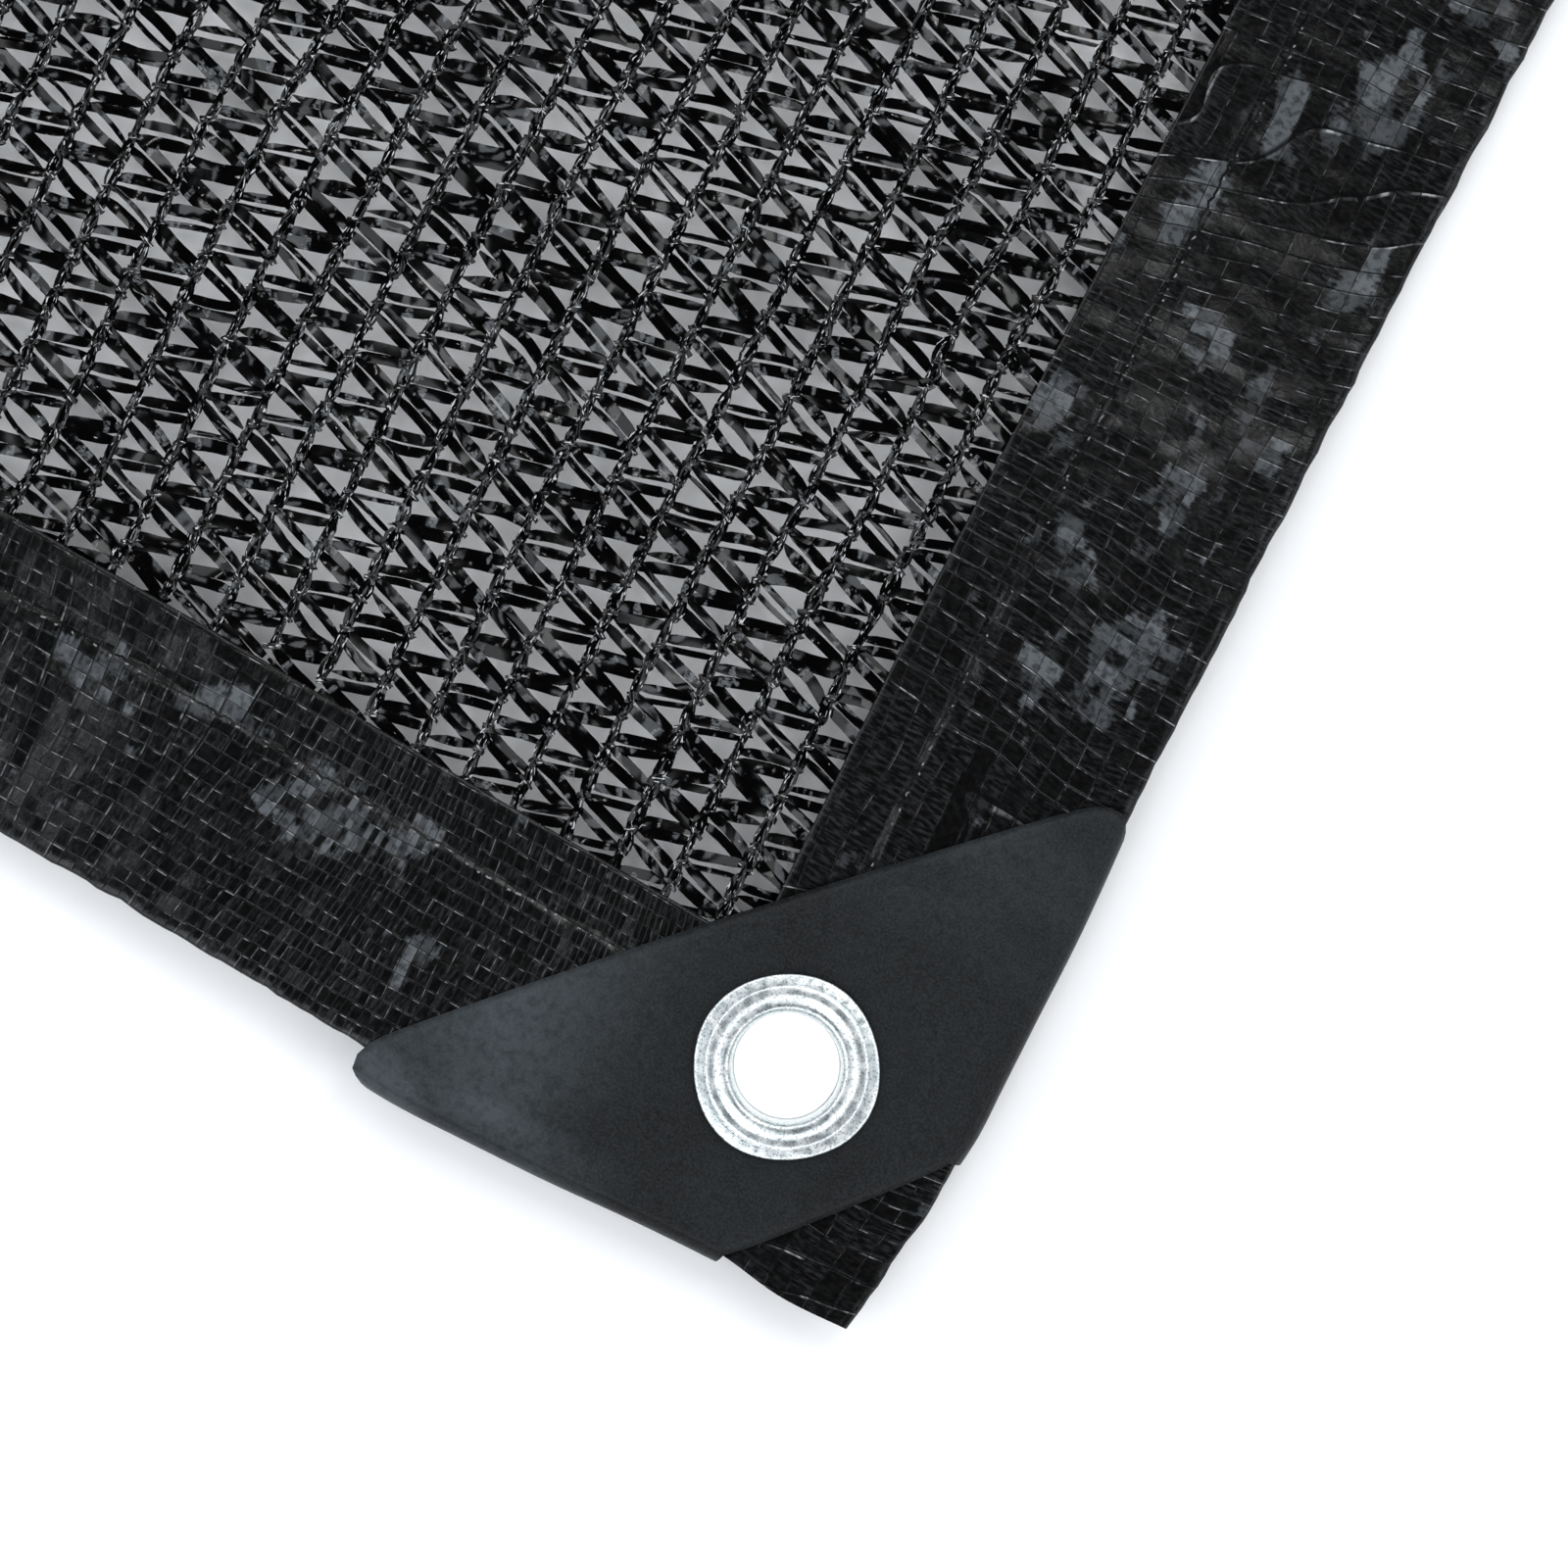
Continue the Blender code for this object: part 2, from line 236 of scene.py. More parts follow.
class Shader:
    """A material's node tree, with short ways to add and link its nodes."""

    def __init__(self, name):
        self.material = bpy.data.materials.new(name)
        self.material.use_nodes = True
        self.tree = self.material.node_tree
        self.surface = self.tree.nodes["Principled BSDF"]

    def add(self, kind, **settings):
        node = self.tree.nodes.new(kind)
        for key, value in settings.items():
            setattr(node, key, value)
        return node

    def feed(self, value, socket):
        if isinstance(value, bpy.types.NodeSocket):
            self.tree.links.new(value, socket)
        else:
            socket.default_value = value

    def math(self, operation, *values):
        node = self.add("ShaderNodeMath", operation=operation)
        for value, socket in zip(values, node.inputs):
            self.feed(value, socket)
        return node.outputs[0]

    def uv(self):
        node = self.add("ShaderNodeUVMap", uv_map="cloth")
        split = self.add("ShaderNodeSeparateXYZ")
        self.feed(node.outputs[0], split.inputs[0])
        return split.outputs[0], split.outputs[1]

    def vector(self, x, y, z=0.0):
        node = self.add("ShaderNodeCombineXYZ")
        for value, socket in zip((x, y, z), node.inputs):
            self.feed(value, socket)
        return node.outputs[0]

    def place(self):
        return self.add("ShaderNodeTexCoord").outputs["Object"]

    def noise(self, vector, scale, detail=2.0, distortion=0.0):
        node = self.add("ShaderNodeTexNoise")
        self.feed(vector, node.inputs["Vector"])
        node.inputs["Scale"].default_value = scale
        node.inputs["Detail"].default_value = detail
        node.inputs["Distortion"].default_value = distortion
        return node.outputs[0]

    def random(self, x, y, seed):
        node = self.add("ShaderNodeTexWhiteNoise", noise_dimensions="3D")
        self.feed(self.vector(x, y, seed), node.inputs["Vector"])
        return node.outputs["Value"]

    def between(self, value, low, high, to_low=0.0, to_high=1.0, smoothly=True):
        node = self.add("ShaderNodeMapRange")
        node.interpolation_type = "SMOOTHSTEP" if smoothly else "LINEAR"
        self.feed(value, node.inputs[0])
        for number, socket in zip((low, high, to_low, to_high), node.inputs[1:5]):
            self.feed(number, socket)
        return node.outputs[0]

    def mix(self, share, one, other):
        node = self.add("ShaderNodeMix", data_type="RGBA")
        self.feed(share, node.inputs[0])
        self.feed((*one, 1) if isinstance(one, tuple) else one, node.inputs[6])
        self.feed((*other, 1) if isinstance(other, tuple) else other, node.inputs[7])
        return node.outputs[2]

    def bump(self, relief, distance, strength=1.0):
        node = self.add("ShaderNodeBump")
        node.inputs["Strength"].default_value = strength
        node.inputs["Distance"].default_value = distance
        self.feed(relief, node.inputs["Height"])
        self.feed(node.outputs[0], self.surface.inputs["Normal"])

    def set(self, **values):
        for key, value in values.items():
            self.feed(value, self.surface.inputs[key.replace("_", " ")])


def film_material():
    """The net's black slit film: glossy and streaked along its length, with grey reflections painted in
    patches and thin glints painted along it.
    """
    shader = Shader("net_film")
    across, along = shader.uv()
    streaks = shader.noise(shader.vector(shader.math("MULTIPLY", across, 3.2), along), 1.6, 3)
    # Grey reflections painted on the film in patches.
    patches = shader.noise(shader.vector(shader.math("MULTIPLY", across, 0.5), along), 0.6, 2)
    painted_reflection = shader.between(patches, 0.6, 0.65)
    painted_reflection = shader.math("MULTIPLY", painted_reflection, shader.between(streaks, 0.35, 0.55))
    colour = shader.mix(painted_reflection, (0.0004, 0.0004, 0.0005), (0.095, 0.1, 0.105))

    # Glints painted as thin bright lines along the film, many in the chains and few in the tapes.
    in_chain = shader.math("GREATER_THAN", along, CHAIN_START)
    glint_lines = shader.noise(shader.vector(shader.math("MULTIPLY", across, 4.5), along), 1.0, 1)
    least = shader.math("MULTIPLY_ADD", in_chain, -0.14, 0.77)
    painted_glint = shader.between(glint_lines, least, shader.math("ADD", least, 0.04))
    colour = shader.mix(painted_glint, colour, (0.46, 0.47, 0.48))
    shader.feed(colour, shader.surface.inputs["Base Color"])
    rough = shader.between(streaks, 0.3, 0.7, 0.07, 0.15)
    shader.feed(rough, shader.surface.inputs["Roughness"])
    dents = shader.noise(shader.vector(across, along), 0.42, 0)
    relief = shader.math("ADD", dents, shader.math("MULTIPLY", streaks, 0.02))
    shader.bump(relief, 0.26 * MM, 1.0)
    shader.surface.inputs["Specular IOR Level"].default_value = 0.27
    return shader.material


def weave_material(name, warp_pitch, weft_pitch, warp_seen, weft_seen, bond):
    """Woven slit-film tape. Its UVs are millimetres across and along the tape, as are the pitches.

    warp_seen and weft_seen say how strongly the highlights painted on the films' edges show, bond where
    the tape is bonded.
    """
    shader = Shader(name)
    across, along = shader.uv()
    wander = shader.noise(shader.vector(across, along), 0.05, 2)
    skew = shader.between(shader.noise(shader.vector(0.0, along), 0.02, 1), 0.3, 0.7, -0.08, 0.3)
    pulled = shader.math("MULTIPLY_ADD", across, skew, along)
    warp = shader.math("MULTIPLY_ADD", across, 1 / warp_pitch, wander)
    weft = shader.math("MULTIPLY_ADD", pulled, 1 / weft_pitch, shader.math("MULTIPLY", wander, 1.4))
    warp_index, weft_index = shader.math("FLOOR", warp), shader.math("FLOOR", weft)
    in_warp = shader.math("SUBTRACT", shader.math("FRACT", warp), 0.5)
    in_weft = shader.math("SUBTRACT", shader.math("FRACT", weft), 0.5)
    both = shader.math("ADD", warp_index, weft_index)
    over = shader.math("GREATER_THAN", shader.math("FRACT", shader.math("DIVIDE", both, 2)), 0.25)
    under = shader.math("SUBTRACT", 1.0, over)
    cell = [shader.random(warp_index, weft_index, seed) for seed in (1.5, 2.5, 3.5)]
    fine = shader.noise(shader.vector(across, along), 1.3, 3)

    # Each cell of film leans a little its own way, in millimetres of height.
    lean_across = shader.math("MULTIPLY", in_warp, shader.between(cell[0], 0, 1, -0.07, 0.07))
    lean_along = shader.math("MULTIPLY", in_weft, shader.between(cell[1], 0, 1, -0.05, 0.05))
    relief = shader.math("ADD", lean_across, lean_along)
    relief = shader.math("MULTIPLY_ADD", fine, 0.03, relief)
    crumple = shader.noise(shader.vector(across, shader.math("MULTIPLY", along, 1.8)), 0.11, 1)
    relief = shader.math("MULTIPLY_ADD", crumple, 0.4, relief)

    # A film's edge has a thin rim on one side, painted bright as a highlight, and a groove on the other,
    # cut into the relief and painted dark as shade.
    def edge(place, pitch, gate, seen, run, turned):
        rim = shader.between(place, 0.5 - 0.15 / pitch, 0.5 - 0.05 / pitch)
        groove = shader.between(place, -0.5 + 0.2 / pitch, -0.5 + 0.07 / pitch)
        shows = shader.between(shader.noise(shader.vector(*run), 1.0, 3), 0.47, 0.62, 0.04, 1.0)
        shows = shader.math("MULTIPLY", shows, shader.math("MULTIPLY_ADD", gate, 0.75, 0.25))
        rim = shader.math("MULTIPLY", rim, shader.math("MULTIPLY", shows, seen))
        return rim, shader.math("MULTIPLY", groove, turned)

    weft_run = shader.math("MULTIPLY", across, 0.33), shader.math("MULTIPLY", weft_index, 7.3)
    warp_run = shader.math("MULTIPLY", warp_index, 5.7), shader.math("MULTIPLY", along, 0.4)
    rim_weft, groove_weft = edge(in_weft, weft_pitch, under, weft_seen, weft_run, 0.9)
    rim_warp, groove_warp = edge(in_warp, warp_pitch, over, warp_seen, warp_run, 0.7)
    rim = shader.math("MAXIMUM", rim_weft, rim_warp)
    groove = shader.math("MAXIMUM", groove_weft, groove_warp)
    relief = shader.math("MULTIPLY_ADD", groove, -0.03, relief)
    shader.bump(relief, MM, 1.0)

    # A paler blue-grey sheen is painted where the tape is dented and in patches that follow the noise,
    # up to the edges of its cells.
    pressed = shader.add("ShaderNodeAttribute", attribute_name="pressed").outputs["Fac"]
    drift = shader.noise(shader.vector(shader.math("MULTIPLY", across, 1.6), along), 0.22, 3)
    drawn = shader.math("MULTIPLY", across, 0.3), shader.math("MULTIPLY", along, 1.2)
    brushed = shader.noise(shader.vector(*drawn), 2.2, 3)
    pressed = shader.math("MULTIPLY_ADD", shader.math("SUBTRACT", cell[2], 0.5), 0.95, pressed)
    pressed = shader.math("MULTIPLY_ADD", shader.math("SUBTRACT", drift, 0.5), 3.0, pressed)
    pressed = shader.math("MULTIPLY_ADD", shader.math("SUBTRACT", brushed, 0.5), 0.9, pressed)
    pressed = shader.between(pressed, 0.62, 1.1)
    pressed = shader.math("MULTIPLY", pressed, shader.between(cell[0], 0, 1, 0.35, 1.0))
    pressed = shader.math("MULTIPLY", pressed, shader.between(fine, 0.34, 0.56, 0.4, 1.0))
    worn = shader.math("MULTIPLY", shader.between(brushed, 0.42, 0.7), cell[1])
    tone = shader.mix(worn, (0.0012, 0.0012, 0.0013), (0.016, 0.0165, 0.017))
    # Painted sheen where the tape is dented.
    colour = shader.mix(pressed, tone, (0.085, 0.093, 0.1))
    # Painted highlight along the films' rims.
    painted_rim_highlight = shader.math("MULTIPLY", rim, shader.between(fine, 0.36, 0.6, 0.25, 1.0))
    colour = shader.mix(painted_rim_highlight, colour, (0.34, 0.35, 0.36))
    # Painted shade in the films' grooves.
    colour = shader.mix(groove, colour, (0.0012, 0.0012, 0.0013))

    # The bond is a thin ragged crease, painted dark as shade, with small glints painted beside it.
    ragged = shader.noise(shader.vector(along, 3.0), 0.7, 3)
    from_bond = shader.math("SUBTRACT", across, shader.math("MULTIPLY_ADD", ragged, 1.6, bond - 0.8))
    crease = shader.between(shader.math("ABSOLUTE", from_bond), 0.22, 0.1)
    painted_glint = shader.between(shader.math("ABSOLUTE", shader.math("ADD", from_bond, 0.28)), 0.14, 0.05)
    sparse = shader.between(shader.noise(shader.vector(along, 9.0), 1.1, 2), 0.56, 0.62)
    # Glints painted beside the bond.
    colour = shader.mix(shader.math("MULTIPLY", painted_glint, sparse), colour, (0.2, 0.205, 0.21))
    # Painted shade in the bond's crease.
    colour = shader.mix(crease, colour, (0.001, 0.001, 0.0011))

    shader.feed(colour, shader.surface.inputs["Base Color"])
    rough = shader.between(fine, 0.3, 0.7, 0.18, 0.26)
    shader.feed(rough, shader.surface.inputs["Roughness"])
    shader.surface.inputs["Specular IOR Level"].default_value = 0.26
    return shader.material


def vinyl_material():
    """Matt black vinyl, paler in uneven patches towards both ends, with a highlight painted along the
    fold at its end edge, and a very fine grain.
    """
    shader = Shader("corner_vinyl")
    place = shader.place()
    from_side, from_end = shader.uv()
    cloud = shader.noise(place, 55, 6, 0.8)
    mottle = shader.noise(place, 950, 5)
    grain = shader.noise(place, 3600, 2)
    # Paler towards both ends of the strip.
    paler_share = shader.between(from_side, 30, 50, 0.1, 0.8)
    # A highlight painted along the fold at the end edge.
    fold_highlight = shader.math("MULTIPLY", shader.between(from_end, 6, 1.5), shader.between(from_side, 24, 40))
    paler_share = shader.math("MAXIMUM", paler_share, shader.math("MULTIPLY", fold_highlight, 1.1))
    paler_share = shader.math("MAXIMUM", paler_share, shader.between(from_end, 34, 50, 0.0, 0.4))
    paler_and_highlight = shader.math("MULTIPLY", shader.between(cloud, 0.32, 0.62, 0.35, 1.0), paler_share)
    paler_and_highlight = shader.math("MULTIPLY", shader.between(mottle, 0.3, 0.6, 0.66, 1.0), paler_and_highlight)
    paler_and_highlight = shader.math("MULTIPLY_ADD", shader.between(grain, 0.35, 0.7), 0.2, paler_and_highlight)
    colour = shader.mix(paler_and_highlight, (0.0018, 0.0019, 0.0019), (0.044, 0.052, 0.058))
    shader.feed(colour, shader.surface.inputs["Base Color"])
    shader.feed(shader.between(mottle, 0.3, 0.7, 0.46, 0.56), shader.surface.inputs["Roughness"])
    relief = shader.math("MULTIPLY_ADD", grain, 0.3, mottle)
    shader.bump(relief, 0.07 * MM, 1.0)
    shader.surface.inputs["Specular IOR Level"].default_value = 0.17
    return shader.material


def zinc_material():
    """Zinc plate: bright, mottled, with dark specks and scratches round its rings."""
    shader = Shader("eyelet_zinc")
    around, outwards = shader.uv()
    place = shader.place()
    spangle = shader.noise(place, 700, 3)
    specks = shader.between(shader.noise(place, 4200, 2), 0.53, 0.66)
    ring = shader.noise(shader.vector(shader.math("MULTIPLY", around, 0.35), outwards), 4.5, 3)
    worn = shader.math("MULTIPLY", shader.between(ring, 0.62, 0.76), 0.35)
    dark = shader.math("MAXIMUM", worn, shader.math("MULTIPLY", specks, 0.62))
    colour = shader.mix(shader.between(spangle, 0.3, 0.7), (0.58, 0.64, 0.65), (0.84, 0.87, 0.87))
    colour = shader.mix(dark, colour, (0.10, 0.11, 0.12))
    shader.feed(colour, shader.surface.inputs["Base Color"])
    shader.feed(shader.between(spangle, 0.3, 0.75, 0.3, 0.46), shader.surface.inputs["Roughness"])
    relief = shader.math("MULTIPLY_ADD", ring, 0.3, spangle)
    shader.bump(relief, 0.05 * MM, 1.0)
    shader.set(Metallic=1.0)
    return shader.material


def ribbons(centre, side, width, curl, start):
    """Ribbons of film, each two faces across, from arrays of ribbons by points.

    side is the direction across the ribbon, curl how far its middle stands proud.
    Gives the points, faces and UVs, the UVs in mm across and along.
    """
    count, points = centre.shape[:2]
    along = np.gradient(centre, axis=1)
    along /= np.linalg.norm(along, axis=-1, keepdims=True)
    proud = np.cross(along, side)
    half = side * width[..., None] / 2
    rows = np.stack([centre - half, centre + proud * curl[..., None], centre + half], axis=2)
    step = np.linalg.norm(np.diff(centre, axis=1), axis=-1)
    reach = np.concatenate([np.zeros((count, 1)), np.cumsum(step, axis=1)], axis=1) / MM
    v = np.repeat((reach + start[:, None])[..., None], 3, axis=2)
    u = width[..., None] / MM * np.array([-0.5, 0.0, 0.5]) + start[:, None, None]
    uvs = np.stack([np.broadcast_to(u, v.shape), v], axis=-1)
    rows[..., 2] = np.maximum(rows[..., 2], 0.02 * MM)
    one = grid_faces(points, 3)
    faces = (one[None] + (np.arange(count) * points * 3)[:, None, None]).reshape(-1, 4)
    return rows.reshape(-1, 3), faces, uvs.reshape(-1, 2)


def turned_side(centre, turn):
    """The direction across each ribbon, turned about its run by an angle from lying flat."""
    along = np.gradient(centre, axis=1)
    along /= np.linalg.norm(along, axis=-1, keepdims=True)
    up = np.zeros_like(along)
    up[..., 2] = 1.0
    flat = np.cross(up, along)
    flat /= np.linalg.norm(flat, axis=-1, keepdims=True)
    lift = np.cross(along, flat)
    return flat * np.cos(turn)[..., None] + lift * np.sin(turn)[..., None]


def net_shift(a, b):
    """How far the net is pulled out of true, as offsets across and along the wales."""
    pull_a = 0.9 * soft_noise(a, b, 55 * MM, 11) + 0.32 * soft_noise(a, b, 19 * MM, 12)
    pull_b = 0.8 * soft_noise(a, b, 60 * MM, 13) + 0.3 * soft_noise(a, b, 17 * MM, 14)
    return pull_a * MM, pull_b * MM


def lay_net(a, b, rise):
    """Points of the net in space: pulled out of true, pressed flat inside a hem.

    Where a hollow between folds nearly touches the surface, the net's stiff chains bridge it.
    """
    shift_a, shift_b = net_shift(a, b)
    a, b = a + shift_a, b + shift_b
    in_hem = HEM_WIDTH + 1 * MM - np.minimum(HALF_WIDTH - np.abs(a), HALF_LENGTH - np.abs(b))
    pressed = 1 - 0.7 * smooth(in_hem / (3 * MM))
    bridged = 1.7 * MM * (1 - smooth((height(a, b) - NET_REST) / (3 * MM)))
    bridged = bridged * (1 - smooth((in_hem + 14 * MM) / (12 * MM)))
    return laid(a, b, rise * pressed + bridged)


def spread(rng, size, scale, most=2.2):
    """Random values about 0, cut off at a multiple of their scale."""
    return np.clip(rng.normal(0, scale, size), -most * scale, most * scale)


def make_tapes(columns, courses, wale_at, rng):
    """The four tapes that cross each gap between wales in each course."""
    i, j, kind, k = np.meshgrid(columns, courses, (0, 1), (-1, 1), indexing="ij")
    i, j, kind, k = (v.ravel() for v in (i, j, kind, k))
    count = len(i)
    loose_unit = rng.random((len(columns), len(courses), 2)) < LOOSE_SHARE
    slack = (loose_unit * rng.uniform(0.4, 1.0, loose_unit.shape)).repeat(2)
    slack = np.where(i == LOOSE_WALE, np.maximum(slack, rng.uniform(0.2, 1.0, count)), slack)
    t = np.linspace(0, 1, TAPE_SEGMENTS + 1)[None]
    end_in = 0.22 * MM
    a = wale_at(i)[:, None] + end_in + t * (WALE_PITCH - 2 * end_in)

    away = np.where(kind == 0, 1.0, -1.0)
    node = j * COURSE_PITCH + i * COURSE_SKEW
    left = node + away * PAIR_FROM_NODE + k * (TAPE_FROM_PAIR + spread(rng, count, 0.14 * MM))
    rise = away * PAIR_RISE
    right = node + away * PAIR_FROM_NODE + rise
    right = right + k * (TAPE_FROM_PAIR + spread(rng, count, 0.14 * MM))
    bow = spread(rng, count, 0.16 * MM) + slack * (0.3 + 0.5 * rng.random(count)) * MM * away * -k
    middle = 4 * t * (1 - t)
    b = left[:, None] * (1 - t) + right[:, None] * t + bow[:, None] * middle
    pinch = 1 - 0.32 * (1 - smooth(t / 0.14)) - 0.32 * (1 - smooth((1 - t) / 0.14))
    narrow = np.where(rng.random(count) < 0.1, rng.uniform(0.45, 0.8, count), 1.0)
    width = TAPE_WIDTH * (narrow * (1 + spread(rng, count, 0.1)))[:, None] * pinch

    arch = (0.10 + spread(rng, count, 0.09) + 0.2 * slack)[:, None] * MM
    up = -0.12 * MM + (arch + 0.12 * MM) * middle + np.where(k > 0, 0.05, -0.05)[:, None] * MM
    centre = lay_net(a, b, up)
    lean = np.radians(spread(rng, count, 12))[:, None]
    twist = np.radians(spread(rng, count, 26))[:, None]
    flips = rng.random(count) < 0.07 + 0.1 * slack
    twist = np.where(flips[:, None], np.pi * np.sign(twist), twist)
    turn = lean * middle + twist * (t - 0.5)
    curl = spread(rng, count, 0.07 * MM)[:, None] * (0.4 + 0.6 * middle)
    start = rng.uniform(0, 900, count)
    return ribbons(centre, turned_side(centre, turn), width, curl, start)


def make_legs(columns, courses, wale_at, rng):
    """The two legs of each chain stitch, from knot to knot up every wale."""
    i, j, kind, k = np.meshgrid(columns, courses, (0, 1), (-1, 1), indexing="ij")
    i, j, kind, k = (v.ravel() for v in (i, j, kind, k))
    count = len(i)
    t = np.linspace(0, 1, LEG_SEGMENTS + 1)[None]
    low_knot = j * COURSE_PITCH + i * COURSE_SKEW
    high_knot = (j + 0.5) * COURSE_PITCH + (i - 1) * COURSE_SKEW
    start_b = np.where(kind == 0, low_knot, high_knot)
    end_b = np.where(kind == 0, high_knot, low_knot + COURSE_PITCH)
    past = 0.42 * MM
    b = (start_b - past)[:, None] * (1 - t) + (end_b + past)[:, None] * t
    belly = (0.42 + spread(rng, count, 0.16))[:, None] * MM
    cross = (0.2 + spread(rng, count, 0.16))[:, None] * MM
    a = wale_at(i)[:, None] + k[:, None] * (belly * np.sin(np.pi * t) - cross * (2 * t - 1))
    a = a + spread(rng, count, 0.05 * MM)[:, None]
    up = (0.12 + 0.34 * t + np.where(k > 0, 0.1, 0.0)[:, None] * (1 - t)) * MM
    centre = lay_net(a, b, up)
    width = (0.44 + spread(rng, count, 0.12))[:, None] * MM * (0.7 + 0.4 * np.sin(np.pi * t))
    wring = spread(rng, count, 70)[:, None]
    turn = np.radians(k[:, None] * -8 + spread(rng, count, 18)[:, None] + wring * (t - 0.5))
    curl = (0.03 + spread(rng, count, 0.03))[:, None] * MM * np.ones_like(t)
    start = CHAIN_START + rng.uniform(0, 900, count)
    return ribbons(centre, turned_side(centre, turn), width, curl, start)


def make_wraps(columns, courses, wale_at, rng):
    """The loop head that lies over each knot of a chain."""
    i, j, kind = np.meshgrid(columns, courses, (0, 1), indexing="ij")
    i, j, kind = (v.ravel() for v in (i, j, kind))
    count = len(i)
    t = np.linspace(0, 1, WRAP_SEGMENTS + 1)[None]
    low_knot = j * COURSE_PITCH + i * COURSE_SKEW
    high_knot = (j + 0.5) * COURSE_PITCH + (i - 1) * COURSE_SKEW
    knot = np.where(kind == 0, low_knot, high_knot)
    lean = np.where(kind == 0, 1.0, -1.0) * (0.3 + rng.random(count) * 0.3)
    half = (0.68 + spread(rng, count, 0.12))[:, None] * MM
    a = wale_at(i)[:, None] + half * (2 * t - 1)
    b = knot[:, None] + lean[:, None] * half * (2 * t - 1)
    up = (0.05 + 0.52 * np.sin(np.pi * t)) * MM
    centre = lay_net(a, b, up)
    width = (0.66 + spread(rng, count, 0.14))[:, None] * MM * np.ones_like(t)
    turn = np.radians(spread(rng, count, 18)[:, None] + spread(rng, count, 50)[:, None] * (t - 0.5))
    curl = (0.05 + spread(rng, count, 0.05))[:, None] * MM * np.ones_like(t)
    start = CHAIN_START + rng.uniform(0, 900, count)
    return ribbons(centre, turned_side(centre, turn), width, curl, start)


def make_cores(columns, courses, wale_at, rng):
    """The turns of tape that run inside each chain, one to a course."""
    i, j = (v.ravel() for v in np.meshgrid(columns, courses, indexing="ij"))
    count = len(i)
    t = np.linspace(0, 1, CORE_SEGMENTS + 1)[None]
    b = (j * COURSE_PITCH + i * COURSE_SKEW)[:, None] + t * 1.04 * COURSE_PITCH
    a = wale_at(i)[:, None] + spread(rng, (count, len(t[0])), 0.12 * MM)
    centre = lay_net(a, b, -0.06 * MM)
    width = (0.9 + spread(rng, (count, len(t[0])), 0.2)) * MM
    turn = np.radians(spread(rng, (count, len(t[0])), 12))
    curl = spread(rng, count, 0.05 * MM)[:, None] * np.ones_like(t)
    start = CHAIN_START + rng.uniform(0, 900, count)
    return ribbons(centre, turned_side(centre, turn), width, curl, start)


def make_net(material):
    """The knitted net, in strips of whole wales."""
    half_a = HALF_WIDTH - HEM_WIDTH + NET_UNDER_HEM
    half_b = HALF_LENGTH - HEM_WIDTH + NET_UNDER_HEM
    gaps = int(round(2 * half_a / WALE_PITCH))
    first = -gaps * WALE_PITCH / 2

    def wale_at(i):
        return first + i * WALE_PITCH

    rng = np.random.default_rng(7)
    skew = abs(COURSE_SKEW) * gaps
    low = int(math.floor(-half_b / COURSE_PITCH))
    high = int(math.ceil((half_b + skew) / COURSE_PITCH))
    strips = np.array_split(np.arange(gaps + 1), NET_STRIPS)
    pieces = []
    for number, columns in enumerate(strips):
        groups = []
        for column in columns:
            shift = column * COURSE_SKEW
            inside = [
                j for j in range(low, high + 1)
                if -half_b <= j * COURSE_PITCH + shift <= half_b - COURSE_PITCH / 2
            ]
            one = np.array([column])
            groups.append(make_cores(one, inside, wale_at, rng))
            if column < gaps:
                groups.append(make_tapes(one, inside, wale_at, rng))
            groups.append(make_legs(one, inside, wale_at, rng))
            groups.append(make_wraps(one, inside, wale_at, rng))
        points, faces, uvs, total = [], [], [], 0
        for group in groups:
            points.append(group[0])
            faces.append(group[1] + total)
            uvs.append(group[2])
            total += len(group[0])
        name = f"net_strip_{number + 1}"
        strip = make_object(
            name, np.concatenate(points), np.concatenate(faces), np.concatenate(uvs), material
        )
        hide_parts("net_panel")
        pieces.append(strip)
    return pieces


# Dents pressed into the bindings. Columns: middle x, middle y, turn from X in degrees, half
# length, half width, in mm, the way that the dent faces and how far it leans, in degrees.
DENTS = (
    (201.8, -173.5, 80, 9.0, 5.0, 165, 8),
    (194.0, -179.0, 100, 6.0, 2.6, 150, 8),
    (199.0, -107.8, 75, 10.0, 5.0, 165, 8),
    (190.5, -114.0, 110, 7.0, 2.4, 160, 8),
    (203.4, -143.8, 120, 7.0, 3.0, 170, 8),
    (198.2, -153.9, 100, 8.0, 3.2, 160, 8),
    (183.1, -153.8, 95, 6.0, 3.4, 165, 9),
    (192.1, -166.9, 130, 7.0, 2.6, 165, 8),
    (193.3, -138.6, 115, 6.0, 3.0, 160, 8),
    (186.0, -128.0, 90, 7.0, 3.0, 170, 8),
    (205.0, -125.0, 95, 7.0, 3.2, 165, 8),
    (132.8, -231.0, 10, 8.0, 6.0, 165, 8),
    (141.5, -228.5, 40, 5.0, 3.0, 165, 8),
    (104.6, -229.8, 0, 7.0, 4.0, 160, 8),
    (118.0, -226.0, 30, 6.0, 2.6, 170, 7),
    (149.0, -240.0, 60, 5.0, 2.4, 165, 7),
)
SCATTERED_DENTS = 90


def scattered_dents():
    """Dents over the rest of the bindings, like those listed."""
    rng = np.random.default_rng(41)
    rows = []
    for k in range(SCATTERED_DENTS):
        deep = rng.uniform(5, 25)
        side = rng.choice((-1, 1))
        if k % 2:
            x, y = side * (HALF_WIDTH / MM - deep), rng.uniform(-185, 185)
        else:
            x, y = rng.uniform(-150, 150), side * (HALF_LENGTH / MM - deep)
        in_view = x > 95 and y < -95
        size = rng.uniform(4, 9), rng.uniform(2.2, 5)
        turn, face, lean = rng.uniform(0, 180), rng.uniform(120, 210), rng.uniform(6, 9)
        if not in_view:
            rows.append((x, y, turn, *size, face, lean))
    return rows


